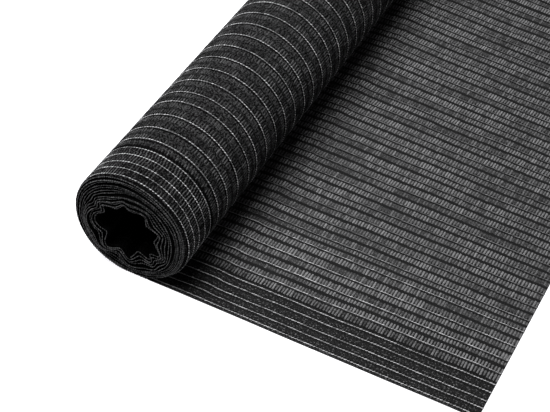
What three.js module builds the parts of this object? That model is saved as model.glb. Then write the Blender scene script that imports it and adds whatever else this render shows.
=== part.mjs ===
// Roll of privacy screen netting: one length of knitted net, wound on itself into a
// hollow roll that lies on its side. The last stretch leaves the roll at its foot and
// lies flat beside it. Millimetres, +Z up, the roll's axis along Y, near end at -Y.

import * as THREE from 'three';

// Driving dimensions
const NET_WIDTH = 1000;
const ROLL_RADIUS = 52;
const SHEET_THICKNESS = 1.2;
const LOOSE_REACH = 300;
const SEAT_GAP = 0.3;
const LIP_HEIGHT = 1.6;

// Angles are in degrees about the roll's axis, seen from the near end: 0 is +X, 90 is up.
const FULL_TURN = 360;
const OUTLINE_STEP = 5;
const BORE_STEP = 3;
const SLACK_STEP = 7;
const HEEL_ANGLE = 262;
const TOE_ANGLE = 285;

// The outside of the roll is a little out of round, and flattened where it rests
const OUTSIDE = [
  { angle: 0, radius: 52.0 },
  { angle: 45, radius: 52.0 },
  { angle: 90, radius: 52.0 },
  { angle: 120, radius: 51.2 },
  { angle: 150, radius: 50.2 },
  { angle: 180, radius: 50.2 },
  { angle: 205, radius: 51.8 },
  { angle: 228, radius: 53.0 },
  { angle: 252, radius: 52.8 },
  { angle: 270, radius: 52.6 },
  { angle: 292, radius: 52.4 },
  { angle: 325, radius: 52.0 },
];

// The innermost turns are crinkled: a row for each fold's inward crest or outward valley
const BORE_FOLDS = [
  { angle: 3, radius: 24.4 },
  { angle: 14, radius: 26.0 },
  { angle: 30, radius: 18.7 },
  { angle: 42, radius: 19.3 },
  { angle: 55, radius: 23.7 },
  { angle: 72, radius: 20.8 },
  { angle: 88, radius: 19.0 },
  { angle: 99, radius: 23.4 },
  { angle: 112, radius: 20.6 },
  { angle: 125, radius: 19.8 },
  { angle: 148, radius: 26.0 },
  { angle: 160, radius: 22.4 },
  { angle: 178, radius: 29.1 },
  { angle: 192, radius: 30.7 },
  { angle: 205, radius: 32.2 },
  { angle: 218, radius: 29.1 },
  { angle: 233, radius: 36.4 },
  { angle: 250, radius: 25.0 },
  { angle: 258, radius: 27.6 },
  { angle: 267, radius: 35.9 },
  { angle: 276, radius: 27.6 },
  { angle: 288, radius: 22.9 },
  { angle: 303, radius: 31.2 },
  { angle: 313, radius: 26.0 },
  { angle: 327, radius: 32.2 },
  { angle: 340, radius: 26.0 },
  { angle: 351, radius: 22.4 },
];

// The inner turns have sunk away from the outer ones and left a crescent of slack
const SLACK = [
  { angle: 62, inner: 37.6, outer: 38.4 },
  { angle: 80, inner: 35.6, outer: 38.8 },
  { angle: 100, inner: 33.4, outer: 39.4 },
  { angle: 120, inner: 33.0, outer: 40.0 },
  { angle: 140, inner: 35.6, outer: 41.6 },
  { angle: 158, inner: 39.2, outer: 42.8 },
  { angle: 174, inner: 42.8, outer: 43.8 },
];

// Along the roll the folds wander round a little, and the top is drawn in at both ends
const STATIONS = [
  { along: 0, drawnIn: 1.6, foldTurn: 0 },
  { along: 4, drawnIn: 0.5, foldTurn: 0 },
  { along: 12, drawnIn: 0, foldTurn: 0.3 },
  { along: 260, drawnIn: 0, foldTurn: 3.5 },
  { along: 510, drawnIn: 0, foldTurn: 1 },
  { along: 760, drawnIn: 0, foldTurn: -2.5 },
  { along: 988, drawnIn: 0, foldTurn: -0.3 },
  { along: 996, drawnIn: 0.5, foldTurn: 0 },
  { along: NET_WIDTH, drawnIn: 1.6, foldTurn: 0 },
];

const NET_COLOUR = 0x2f3032;
const NET_ROUGHNESS = 0.75;

// A smooth step from one row's value to the next, with the slopes of the rows around
function hermite(before, start, end, after, t) {
  const leaving = (end - before) / 2;
  const arriving = (after - start) / 2;
  const rise = t * t * (3 - 2 * t);
  const bend = t * (1 - t);
  return start * (1 - rise) + end * rise + bend * (leaving * (1 - t) - arriving * t);
}

// A closed table's column at any angle: the rows run once round the roll
function aroundRows(rows, column, angle) {
  const count = rows.length;
  const first = rows[0].angle;
  const turned = THREE.MathUtils.euclideanModulo(angle - first, FULL_TURN) + first;
  const index = rows.findLastIndex((row) => row.angle <= turned);
  const near = (step) => rows[(index + step + count) % count];
  const span = THREE.MathUtils.euclideanModulo(near(1).angle - near(0).angle, FULL_TURN);
  const t = (turned - near(0).angle) / span;
  return hermite(near(-1)[column], near(0)[column], near(1)[column], near(2)[column], t);
}

// An open table's column at an angle between its first row and its last
function alongRows(rows, column, angle) {
  const last = rows.length - 1;
  const index = Math.min(rows.findLastIndex((row) => row.angle <= angle), last - 1);
  const near = (step) => rows[THREE.MathUtils.clamp(index + step, 0, last)];
  const t = (angle - near(0).angle) / (near(1).angle - near(0).angle);
  return hermite(near(-1)[column], near(0)[column], near(1)[column], near(2)[column], t);
}

// Section points are X and height; the roll's axis is one radius above the floor
function polar(radius, angle) {
  const turn = THREE.MathUtils.degToRad(angle);
  return new THREE.Vector2(radius * Math.cos(turn), ROLL_RADIUS + radius * Math.sin(turn));
}

// How far from the foot line a circle through the table's radius crosses a low height
function crossing(angle, height) {
  const radius = aroundRows(OUTSIDE, 'radius', angle);
  const below = ROLL_RADIUS - height;
  return Math.sqrt(radius * radius - below * below);
}

// The outline starts above the lip where the net leaves the roll, and ends on the flat spot
function outsideLoop(station) {
  const heel = -crossing(HEEL_ANGLE, 0);
  const lip = crossing(TOE_ANGLE, LIP_HEIGHT);
  const start = THREE.MathUtils.radToDeg(Math.atan2(LIP_HEIGHT - ROLL_RADIUS, lip));
  const end = THREE.MathUtils.radToDeg(Math.atan2(-ROLL_RADIUS, heel));
  const sweep = THREE.MathUtils.euclideanModulo(end - start, FULL_TURN);
  const count = Math.round(sweep / OUTLINE_STEP);
  const points = [new THREE.Vector2(lip, LIP_HEIGHT)];
  for (let step = 1; step < count; step += 1) {
    const angle = start + (sweep * step) / count;
    const topShare = (1 + Math.sin(THREE.MathUtils.degToRad(angle))) / 2;
    const radius = aroundRows(OUTSIDE, 'radius', angle) - station.drawnIn * topShare;
    points.push(polar(radius, angle));
  }
  points.push(new THREE.Vector2(heel, 0), new THREE.Vector2(lip, 0));
  return points;
}

function boreLoop(station) {
  const points = [];
  for (let angle = 0; angle < FULL_TURN; angle += BORE_STEP) {
    points.push(polar(aroundRows(BORE_FOLDS, 'radius', angle + station.foldTurn), angle));
  }
  return points;
}

function slackLoop() {
  const outer = [];
  const inner = [];
  for (let angle = SLACK[0].angle; angle <= SLACK.at(-1).angle; angle += SLACK_STEP) {
    outer.push(polar(alongRows(SLACK, 'outer', angle), angle));
    inner.push(polar(alongRows(SLACK, 'inner', angle), angle));
  }
  return outer.concat(inner.reverse());
}

// One wall between a loop's points at two stations; a hole's wall faces its own middle
function wall(faces, nearStart, farStart, count, isHole) {
  for (let i = 0; i < count; i += 1) {
    const next = (i + 1) % count;
    const [a, b, c, d] = [nearStart + i, nearStart + next, farStart + next, farStart + i];
    faces.push(...(isHole ? [a, b, c, a, c, d] : [a, d, c, a, c, b]));
  }
}

// A closed solid through the stations; each has an outline and the holes inside it
function lofted(stations, loopsAt) {
  const sections = stations.map((station) => loopsAt(station));
  const points = [];
  sections.forEach((loops, i) => {
    loops.flat().forEach((point) => points.push(point.x, stations[i].along, point.y));
  });
  const perSection = sections[0].flat().length;
  const faces = [];
  for (let i = 0; i < stations.length - 1; i += 1) {
    let start = i * perSection;
    sections[i].forEach((loop, k) => {
      wall(faces, start, start + perSection, loop.length, k > 0);
      start += loop.length;
    });
  }
  const far = (stations.length - 1) * perSection;
  const [nearEnd, farEnd] = [sections[0], sections.at(-1)];
  THREE.ShapeUtils.triangulateShape(nearEnd[0], nearEnd.slice(1))
    .forEach(([a, b, c]) => faces.push(a, b, c));
  THREE.ShapeUtils.triangulateShape(farEnd[0], farEnd.slice(1))
    .forEach(([a, b, c]) => faces.push(far + a, far + c, far + b));
  const geometry = new THREE.BufferGeometry();
  geometry.setAttribute('position', new THREE.Float32BufferAttribute(points, 3));
  geometry.setIndex(faces);
  return geometry;
}

function netMesh(name, geometry) {
  const material = new THREE.MeshStandardMaterial({
    color: NET_COLOUR,
    roughness: NET_ROUGHNESS,
    metalness: 0,
  });
  const mesh = new THREE.Mesh(geometry, material);
  mesh.name = name;
  return mesh;
}

function roll() {
  const loopsAt = (station) => [outsideLoop(station), boreLoop(station), slackLoop()];
  return netMesh('roll', lofted(STATIONS, loopsAt));
}

function looseEnd() {
  const start = crossing(TOE_ANGLE, LIP_HEIGHT) + SEAT_GAP;
  const length = LOOSE_REACH - start;
  const geometry = new THREE.BoxGeometry(length, NET_WIDTH, SHEET_THICKNESS);
  const mesh = netMesh('loose_end', geometry);
  mesh.position.set(start + length / 2, NET_WIDTH / 2, SHEET_THICKNESS / 2);
  return mesh;
}

// The origin is on the floor, under the middle of the whole piece
function laidOut() {
  const group = new THREE.Group();
  group.add(roll(), looseEnd());
  const middle = new THREE.Box3().setFromObject(group).getCenter(new THREE.Vector3());
  group.position.set(-middle.x, -middle.y, 0);
  return group;
}

export default laidOut();
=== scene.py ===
"""Roll of privacy screen netting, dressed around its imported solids.

One length of knitted net is wound into a hollow roll that lies on its side, and its last
stretch runs out flat over the floor. Lengths are metres unless a name ends in _mm.
"""

from __future__ import annotations

import logging
import math
from collections.abc import Callable, Sequence
from dataclasses import dataclass, field
from enum import Enum
from typing import Any

import bmesh
import bpy
import numpy as np
from mathutils import Matrix, Vector

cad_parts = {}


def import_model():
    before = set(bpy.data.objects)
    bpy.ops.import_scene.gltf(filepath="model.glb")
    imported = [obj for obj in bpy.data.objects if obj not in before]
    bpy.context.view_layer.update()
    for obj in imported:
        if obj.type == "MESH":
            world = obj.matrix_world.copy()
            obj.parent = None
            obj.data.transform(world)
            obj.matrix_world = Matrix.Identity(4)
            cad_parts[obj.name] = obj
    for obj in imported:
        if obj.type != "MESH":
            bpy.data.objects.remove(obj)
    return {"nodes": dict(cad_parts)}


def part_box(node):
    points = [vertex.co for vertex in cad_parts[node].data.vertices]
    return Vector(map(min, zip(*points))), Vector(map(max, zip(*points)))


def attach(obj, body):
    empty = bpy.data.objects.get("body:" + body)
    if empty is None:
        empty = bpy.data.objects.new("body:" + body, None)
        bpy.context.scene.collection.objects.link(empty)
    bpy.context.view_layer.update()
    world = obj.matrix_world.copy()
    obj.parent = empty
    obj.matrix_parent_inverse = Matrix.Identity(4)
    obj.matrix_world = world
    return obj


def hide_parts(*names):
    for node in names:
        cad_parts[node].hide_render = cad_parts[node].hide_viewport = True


LOG = logging.getLogger("netting")
MM = 0.001
MM_PER_M = 1000
FULL_TURN = 360.0
FOOT_ANGLE = 270.0
ROW_START_PER_MM = 0.37
WOBBLE_SHARES = (0.2, 1.0, 0.5)
SHARP_ANGLE = math.radians(48)
UV_NAME = "net"
TONE_NAME = "tone"
FACING_NAME = "facing"
BREADTH_NAME = "breadth"

# A span is a pair of numbers, and a path is points with the way out at each
Span = tuple[float, float]
Place = tuple[float, float, float]
Table = tuple[Span, ...]
Inputs = dict[Any, Any]
Socket = bpy.types.NodeSocket
Path = tuple[np.ndarray, np.ndarray]


class Backing(Enum):
    """What lies behind a stretch of net and shows between its tapes."""

    # The openings stay opaque and are drawn in the behind colour, as painted shade of the roll's
    # inside
    MORE_NET = "more net"
    OPEN_FLOOR = "open floor"


@dataclass(frozen=True)
class Colour:
    """A linear colour, as its shares of red, green and blue."""

    red: float
    green: float
    blue: float

    @classmethod
    def grey(cls, level: float) -> "Colour":
        """Gives a neutral grey of one level."""
        return cls(level, level, level * 1.02)

    def rgba(self) -> tuple[float, float, float, float]:
        """Gives the colour with full opacity."""
        return (self.red, self.green, self.blue, 1.0)


def hermite(before: Any, start: Any, end: Any, after: Any, t: Any) -> Any:
    """Steps smoothly from one row's value to the next.

    Args:
        before: The value of the row before the step.
        start: The value at the start of the step.
        end: The value at its end.
        after: The value of the row after the step.
        t: How far along the step to read, from 0 to 1.

    Returns:
        The value there.
    """
    leaving = (end - before) / 2
    arriving = (after - start) / 2
    rise = t * t * (3 - 2 * t)
    return start * (1 - rise) + end * rise + t * (1 - t) * (leaving * (1 - t) - arriving * t)


def round_table(rows: Table, angle: np.ndarray) -> np.ndarray:
    """Reads a table that runs once round the roll.

    Args:
        rows: Pairs of an angle in degrees and a value, by rising angle.
        angle: The angles to read at, in degrees.

    Returns:
        The value at each angle.
    """
    angles, values = np.array(rows).T
    count = len(rows)
    turned = (angle - angles[0]) % FULL_TURN + angles[0]
    index = np.searchsorted(angles, turned, side="right") - 1
    span = (angles[(index + 1) % count] - angles[index]) % FULL_TURN
    t = (turned - angles[index]) / span
    near = [values[(index + step) % count] for step in (-1, 0, 1, 2)]
    return hermite(*near, t)


@dataclass(frozen=True)
class KnitPlan:
    """Where the rows of the knit lie across the net, in millimetres from its nearer edge."""

    width_mm: float = 1000.0
    stitch_mm: float = 2.65
    edge_lines_mm: tuple[float, ...] = (2.9, 10.9, 18.6, 27.7, 36.3, 48.7, 63.6, 80.9, 99.5, 113.0)
    field_pitch_mm: float = 17.2
    selvedge_mm: float = 37.5
    line_mm: float = 0.9
    under_line_mm: float = 2.5
    dense_mm: float = 1.7
    close_gap_mm: float = 10.0
    first_gap_mm: float = 13.0
    stripe_shift_mm: float = 0.6
    split_lines: int = 5
    split_gap_mm: float = 0.3
    wander_mm: Span = (0.14, 0.10)
    wander_length_mm: Span = (13.0, 4.6)
    wander_breadth_mm: Span = (21.0, 6.3)
    wander_start: float = 2.0
    pulled_up_mm: float = 0.9
    pulled_from_mm: float = 60.0
    pulled_over_mm: float = 9.0
    pulled_rise_mm: float = 30.0
    bow_per_m: float = 0.30
    bow_from_mm: float = 62.0
    straight_mm: float = 57.0
    held_mm: float = 8.0
    settling_steps: int = 6

    def lines_mm(self) -> list[float]:
        """Lists every chain line's place across the whole net.

        Returns:
            The places in millimetres from the near edge, rising.
        """
        half = list(self.edge_lines_mm)
        while half[-1] + self.field_pitch_mm < self.width_mm / 2:
            half.append(half[-1] + self.field_pitch_mm)
        return half + [self.width_mm - place for place in reversed(half)]

    def bays_mm(self) -> list[Span]:
        """Lists the bays of open tapes between the chain lines and the dense stripes.

        Returns:
            The middle of each bay and its breadth, in millimetres across the net.
        """
        lines = [place for place in self.lines_mm() if place < self.width_mm / 2]
        lines.append(self.width_mm / 2 + self.field_pitch_mm / 2)
        spans: list[Span] = []
        for low, high in zip(lines, lines[1:]):
            stripe = (low + high) / 2 - self.stripe_shift_mm
            if high - low < self.close_gap_mm:
                spans.append((low + self.line_mm, high - self.line_mm))
            elif high - low < self.first_gap_mm:
                spans.append((low + 2 * self.dense_mm, high - self.under_line_mm))
            else:
                spans.append((low + self.line_mm, stripe - self.dense_mm))
                spans.append((stripe + self.dense_mm, high - self.under_line_mm))
        near = [((low + high) / 2, high - low) for low, high in spans]
        near = [bay for bay in near if bay[0] < self.width_mm / 2]
        return near + [(self.width_mm - middle, reach) for middle, reach in reversed(near)]

    def staggered_bays_mm(self) -> list[Span]:
        """Lists the bays with the close ones near the edges in two rows each.

        Returns:
            The middle of each row and its breadth, in millimetres across the net.
        """
        rows: list[Span] = []
        for middle, reach in self.bays_mm():
            inward = min(middle, self.width_mm - middle)
            if inward > self.edge_lines_mm[self.split_lines]:
                rows.append((middle, reach))
                continue
            for side in (-1, 1):
                rows.append((middle + side * reach / 4, reach / 2 - self.split_gap_mm))
        return rows

    def is_open(self, place_mm: float) -> bool:
        """Says whether a place across the net lies clear of both selvedges."""
        return self.selvedge_mm < place_mm < self.width_mm - self.selvedge_mm

    def shift_mm(self, along: np.ndarray, across: np.ndarray) -> np.ndarray:
        """Says how far the knit has wandered from its straight place.

        Args:
            along: Millimetres along the net from the foot of the roll.
            across: Millimetres across the net from its near edge.

        Returns:
            The shift in millimetres, to be added to the place across.
        """
        (slow, quick), (broad, narrow) = self.wander_length_mm, self.wander_breadth_mm
        wander = self.wander_mm[0] * np.sin(along / slow + across / broad)
        quickly = np.sin(along / quick - across / narrow + self.wander_start)
        wander = wander + self.wander_mm[1] * quickly
        past = along - self.pulled_from_mm
        near_roll = np.clip(1 - past / self.pulled_over_mm, 0, 1)
        near_roll = near_roll * np.clip(past / self.pulled_rise_mm + 1, 0, 1)
        wander = wander - self.pulled_up_mm * near_roll
        share = across / self.width_mm
        free = np.clip(along - self.bow_from_mm, 0, None) * MM
        bow = self.bow_per_m * free * np.clip(across - self.straight_mm, 0, None)
        to_edge = np.minimum(across, self.width_mm - across)
        hold = np.clip(to_edge / self.held_mm, 0, 1)
        return wander * hold + bow * (1 - share * share)

    def place_mm(self, line: float, along: np.ndarray) -> np.ndarray:
        """Finds where a chain line runs.

        Args:
            line: The line's straight place in millimetres across the net.
            along: Millimetres along the net.

        Returns:
            Millimetres across the net, for each place along it.
        """
        place = np.full_like(along, line)
        for _ in range(self.settling_steps):
            place = line - self.shift_mm(along, place)
        return place


@dataclass(frozen=True)
class WoundForm:
    """The roll's cross-section. Angles are degrees, 90 is up, and radii are millimetres."""

    axis_height_mm: float = 52.0
    cloth_mm: float = 0.55
    turns: int = 13
    steps_a_turn: int = 110
    stacked_mm: float = 0.74
    lip_mm: float = 14.3
    outer_turns: float = 4.6
    outer_level: float = 4.13
    step_in_power: float = 4.0
    inner_start: float = 7.6
    drawn_least: float = 0.3
    foot_steps: int = 6
    foot_end_mm: float = 0.9
    bore_middle_mm: float = 25.5
    bore_shift_mm: float = 4.5
    bore_shift_angle: float = 225.0
    outside: Table = (
        (0, 52.0), (45, 52.0), (90, 52.0), (120, 51.8), (150, 51.2), (180, 50.9), (205, 51.9),
        (228, 53.0), (252, 52.8), (270, 52.6), (292, 52.4), (325, 52.0),
    )
    slack_outer: Table = (
        (0, 41.8), (30, 41.0), (62, 39.2), (80, 38.6), (100, 38.6), (120, 39.2), (140, 41.2),
        (158, 42.8), (174, 43.9), (195, 46.6), (220, 48.9), (240, 49.1), (260, 48.4), (280, 46.8),
        (300, 46.2), (320, 45.8), (340, 43.8),
    )
    slack_inner: Table = (
        (8, 39.8), (30, 39.2), (45, 38.8), (62, 37.6), (80, 35.6), (100, 33.4), (120, 31.6),
        (140, 34.0), (150, 36.0), (160, 35.2), (172, 39.6), (183, 42.8), (195, 45.2), (207, 46.6),
        (222, 47.6), (231, 47.4), (238, 43.0), (245, 38.2), (252, 38.6), (261, 43.4), (270, 45.6),
        (282, 45.6), (296, 44.8), (310, 43.6), (324, 42.4), (340, 40.8),
    )
    drawn_share: Table = (
        (0, 1.0), (50, 1.0), (90, 0.66), (135, 0.3), (180, 0.05), (225, 0.0), (270, 0.0),
        (300, 0.3), (330, 0.75),
    )
    bore_folds: Table = (
        (3, 24.4), (14, 26.0), (30, 18.7), (42, 19.3), (55, 23.7), (72, 20.8), (88, 19.0),
        (99, 23.4), (112, 20.6), (125, 19.8), (148, 26.0), (160, 22.4), (178, 29.1), (192, 30.7),
        (203, 27.0), (211, 21.5), (218, 24.5), (227, 32.0), (235, 34.8), (250, 25.0), (258, 27.6),
        (267, 32.5), (276, 27.6), (288, 22.9), (303, 31.2), (313, 26.0), (327, 32.2), (340, 26.0),
        (351, 22.4),
    )

    def smooth_bore(self, angle: np.ndarray) -> np.ndarray:
        """Gives the bore's radius as it would be without its folds."""
        lean = np.cos(np.radians(angle - self.bore_shift_angle))
        return self.bore_middle_mm + self.bore_shift_mm * lean

    def radius(self, turn: np.ndarray, angle: np.ndarray, fold_turn: float) -> np.ndarray:
        """Gives the radius of the cloth's middle.

        Args:
            turn: Turns in from the foot of the roll, 0 at the outside.
            angle: The angle of each point.
            fold_turn: How far the folds have wandered round, in degrees.

        Returns:
            The radius of each point in millimetres.
        """
        half = self.cloth_mm / 2
        outside = round_table(self.outside, angle) - half
        slack_outer = round_table(self.slack_outer, angle) + half
        slack_inner = round_table(self.slack_inner, angle) - half
        folded = round_table(self.bore_folds, angle + fold_turn) + half
        smooth = self.smooth_bore(angle + fold_turn) + half
        level = np.floor(turn) + (turn % 1.0) ** self.step_in_power
        outer_share = np.clip(level / self.outer_level, 0, 1)
        outer = outside + (slack_outer - outside) * outer_share
        depth = (turn - self.inner_start) / (self.turns - self.inner_start)
        depth = np.clip(depth, 0, 1)
        inner = slack_inner + (smooth - slack_inner) * depth
        inner = inner + (folded - smooth) * depth
        gap = self.inner_start - self.outer_turns
        crossing = np.clip((turn - self.outer_turns) / gap, 0, 1)
        return outer * (1 - crossing) + inner * crossing

    def turns_in(self) -> np.ndarray:
        """Lists the turns at which the wound path has a point."""
        return np.linspace(0, self.turns, self.turns * self.steps_a_turn + 1)

    def section(self, drawn_in: float, fold_turn: float) -> np.ndarray:
        """Lays out the cloth's middle line at one station along the roll.

        Args:
            drawn_in: How far the top is drawn in there, in millimetres.
            fold_turn: How far the folds have wandered round, in degrees.

        Returns:
            An array of points from the lip inwards, as X and height in millimetres.
        """
        turn = self.turns_in()
        angle = FOOT_ANGLE - FULL_TURN * turn
        fade = np.clip(1 - turn / self.outer_turns, self.drawn_least, 1)
        drawn = drawn_in * round_table(self.drawn_share, angle) * fade
        radius = self.radius(turn, angle, fold_turn) - drawn
        across = radius * np.cos(np.radians(angle))
        height = self.axis_height_mm + radius * np.sin(np.radians(angle))
        height = np.maximum(height, self.cloth_mm / 2 + self.stacked_mm * turn)
        foot = np.linspace(self.lip_mm, self.foot_end_mm, self.foot_steps)
        floor = np.full_like(foot, self.cloth_mm / 2)
        return np.stack([np.concatenate([foot, across]), np.concatenate([floor, height])], axis=1)


@dataclass(frozen=True)
class Station:
    """One cut across the roll, and how its shape differs there."""

    along_mm: float
    drawn_in_mm: float = 0.0
    fold_turn: float = 0.0
    fullness: float = 1.0


STATIONS = tuple(
    Station(*row)
    for row in (
        (0.2, 3.6, 0.0, 0.55), (0.5, 2.6, 0.0, 1.0), (1.1, 1.5, 0.0), (2.0, 0.6, 0.0),
        (3.2, 0.1, 0.1), (6.0, 0.0, 0.1), (12.0, 0.0, 0.3), (30.0, 0.0, 0.6), (70.0, 0.0, 1.2),
        (150.0, 0.0, 2.4), (260.0, 0.0, 3.5), (385.0, 0.0, 2.6), (510.0, 0.0, 1.0),
        (635.0, 0.0, -1.0), (760.0, 0.0, -2.5), (880.0, 0.0, -1.6), (950.0, 0.0, -0.7),
        (988.0, 0.0, -0.3), (994.0, 0.0, -0.1), (996.8, 0.1, -0.1), (998.0, 0.6, 0.0),
        (998.9, 1.5, 0.0), (999.5, 2.6, 0.0, 1.0), (999.8, 3.6, 0.0, 0.55),
    )
)


def maths_method(operation: str) -> Callable[..., "ShaderValue"]:
    """Makes a method that adds one Math node over a value and any others.

    Args:
        operation: What the node does.

    Returns:
        The method.
    """

    def method(self: "ShaderValue", *others: Any) -> "ShaderValue":
        """Adds the Math node and gives its result."""
        return self.tree.maths(operation, self, *others)

    return method


class ShaderValue:
    """A number socket that takes part in Python expressions."""

    __add__ = __radd__ = maths_method("ADD")
    __sub__ = maths_method("SUBTRACT")
    __mul__ = __rmul__ = maths_method("MULTIPLY")
    __truediv__ = maths_method("DIVIDE")
    __abs__ = maths_method("ABSOLUTE")
    lowest = maths_method("MINIMUM")
    highest = maths_method("MAXIMUM")
    floor = maths_method("FLOOR")
    fract = maths_method("FRACT")

    def __init__(self, tree: "ShaderTree", socket: Socket) -> None:
        """Wraps a socket of the tree it belongs to."""
        self.tree = tree
        self.socket = socket

    def __rsub__(self, other: Any) -> "ShaderValue":
        """Takes this value away from the other."""
        return self.tree.maths("SUBTRACT", other, self)

    def ramp(self, low: float, high: float) -> "ShaderValue":
        """Rises smoothly from 0 at low to 1 at high, or falls where high is the lower."""
        falls = high < low
        inputs = {"Value": self, "From Min": min(low, high), "From Max": max(low, high)}
        inputs |= {"To Min": float(falls), "To Max": float(not falls)}
        settings = {"interpolation_type": "SMOOTHSTEP", "clamp": True}
        return self.tree.value(self.tree.out("ShaderNodeMapRange", inputs, **settings))


class NodeTree:
    """A tree of nodes that is filled and linked by the script."""

    def __init__(self, tree: bpy.types.NodeTree) -> None:
        """Takes the tree that the nodes go into."""
        self.tree = tree

    def node(self, kind: str, inputs: Inputs | None = None, **settings: Any) -> bpy.types.Node:
        """Adds any node.

        Args:
            kind: The node's type.
            inputs: Values or links, by socket name or number.
            settings: The node's own properties, which are set first.

        Returns:
            The node.
        """
        node = self.tree.nodes.new(kind)
        for name, value in settings.items():
            setattr(node, name, value)
        for name, value in (inputs or {}).items():
            if isinstance(value, ShaderValue):
                value = value.socket
            if isinstance(value, Socket):
                self.tree.links.new(value, node.inputs[name])
            elif isinstance(value, Colour):
                node.inputs[name].default_value = value.rgba()
            else:
                node.inputs[name].default_value = value
        return node

    def out(self, kind: str, inputs: Inputs | None = None, **settings: Any) -> Socket:
        """Adds any node and gives its first output."""
        return self.node(kind, inputs, **settings).outputs[0]


class ShaderTree(NodeTree):
    """A material's node tree, built from expressions."""

    COLOUR_MIX = {"share": 0, "first": 6, "second": 7, "result": 2}

    def __init__(self, name: str) -> None:
        """Starts an empty material."""
        self.material = bpy.data.materials.new(name)
        self.material.use_nodes = True
        super().__init__(self.material.node_tree)
        self.tree.nodes.clear()

    def value(self, socket: Socket) -> ShaderValue:
        """Wraps a node's output."""
        return ShaderValue(self, socket)

    def maths(self, operation: str, *values: Any) -> ShaderValue:
        """Adds a Math node over values and links."""
        inputs = dict(enumerate(values))
        return self.value(self.out("ShaderNodeMath", inputs, operation=operation))

    def point(self, x: Any, y: Any, z: Any = 0.0) -> Socket:
        """Joins three values into a vector."""
        return self.out("ShaderNodeCombineXYZ", {0: x, 1: y, 2: z})

    def parts(self, vector: Socket) -> list[ShaderValue]:
        """Splits a vector into its three values."""
        node = self.node("ShaderNodeSeparateXYZ", {0: vector})
        return [self.value(part) for part in node.outputs]

    def object_place(self) -> Socket:
        """Reads the place on the object."""
        return self.node("ShaderNodeTexCoord").outputs["Object"]

    def noise(self, at: Socket, detail: float = 1.0) -> ShaderValue:
        """Reads soft noise, which lies mostly between 0.3 and 0.7."""
        inputs = {"Vector": at, "Scale": 1.0, "Detail": detail}
        return self.value(self.out("ShaderNodeTexNoise", inputs))

    def scatter(self, x: ShaderValue, y: Any) -> ShaderValue:
        """Reads an even random value for each whole place."""
        inputs = {"Vector": self.point(x.floor(), y)}
        return self.value(self.out("ShaderNodeTexWhiteNoise", inputs, noise_dimensions="2D"))

    def mix(self, share: Any, first: Any, second: Any) -> Socket:
        """Mixes two colours."""
        at = self.COLOUR_MIX
        inputs = {at["share"]: share, at["first"]: first, at["second"]: second}
        return self.node("ShaderNodeMix", inputs, data_type="RGBA").outputs[at["result"]]

    def scaled(self, colour: Socket, by: ShaderValue) -> Socket:
        """Makes a colour brighter or darker."""
        inputs = {0: colour, 1: self.point(by, by, by)}
        return self.out("ShaderNodeVectorMath", inputs, operation="MULTIPLY")

    def bump(self, height: ShaderValue, strength: float, depth_m: float) -> Socket:
        """Turns a height into a normal."""
        inputs = {"Strength": strength, "Distance": depth_m, "Height": height}
        return self.out("ShaderNodeBump", inputs)

    def curve(self, at: ShaderValue, points: Sequence[Span]) -> ShaderValue:
        """Reads a curve of straight stretches.

        Args:
            at: Where to read it.
            points: The curve's corners, which lie between 0 and 1.

        Returns:
            The curve's height there.
        """
        node = self.node("ShaderNodeFloatCurve", {"Value": at})
        curve = node.mapping.curves[0]
        while len(curve.points) < len(points):
            curve.points.new(0.5, 0.5)
        for handle, place in zip(curve.points, points):
            handle.location = place
            handle.handle_type = "VECTOR"
        node.mapping.update()
        return self.value(node.outputs[0])

    def surfaced(self, inputs: Inputs) -> bpy.types.Material:
        """Ends the material with a Principled shader that takes the inputs."""
        shader = self.out("ShaderNodeBsdfPrincipled", inputs)
        self.node("ShaderNodeOutputMaterial", {"Surface": shader})
        return self.material


@dataclass(frozen=True)
class KnitMarks:
    """Where each drawn mark of the knit is gone and where it is full.

    Distances and the sizes of grain are millimetres on the net. The places of slots, beads
    and pits are shares of a stitch.
    """

    line: Span = (0.55, 0.15)
    shade_mm: float = 1.6
    shade: Span = (1.0, 0.5)
    edge: Span = (0.55, 0.1)
    border_mm: float = 39.4
    border: Span = (2.0, 0.9)
    selvedge: Span = (1.5, -0.5)
    selvedge_pitch_mm: float = 8.5
    field_from_mm: float = 90.0
    stripe_fade_mm: float = 0.9
    ragged_grain_mm: Span = (1.3, 1.4)
    ragged_mm: float = 1.3
    near_bay: Span = (0.46, 0.40)
    mottle: Span = (0.42, 0.60)
    speckle_grain_mm: Span = (1.7, 1.2)
    speckle: Span = (0.58, 0.68)
    blotch_grain_mm: Span = (30.0, 12.0)
    blotch: float = 0.6
    # Painted shade: how far the inner turns of the roll take to darken, and how dark they get
    inner_shade_over_mm: float = 22.0
    painted_inner_shade: float = 0.85
    zone_mm: float = 22.0
    zone: Span = (0.36, 0.66)
    warp_mm: float = 17.0
    slot: Span = (0.34, 0.12)
    bead: Span = (0.5, 0.18)
    pit_breadth: Span = (3.4, 0.9)
    pit: Span = (-0.05, 0.06)
    pit_ends: tuple[Span, Span] = ((3.6, 2.4), (0.5, 0.9))


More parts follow.
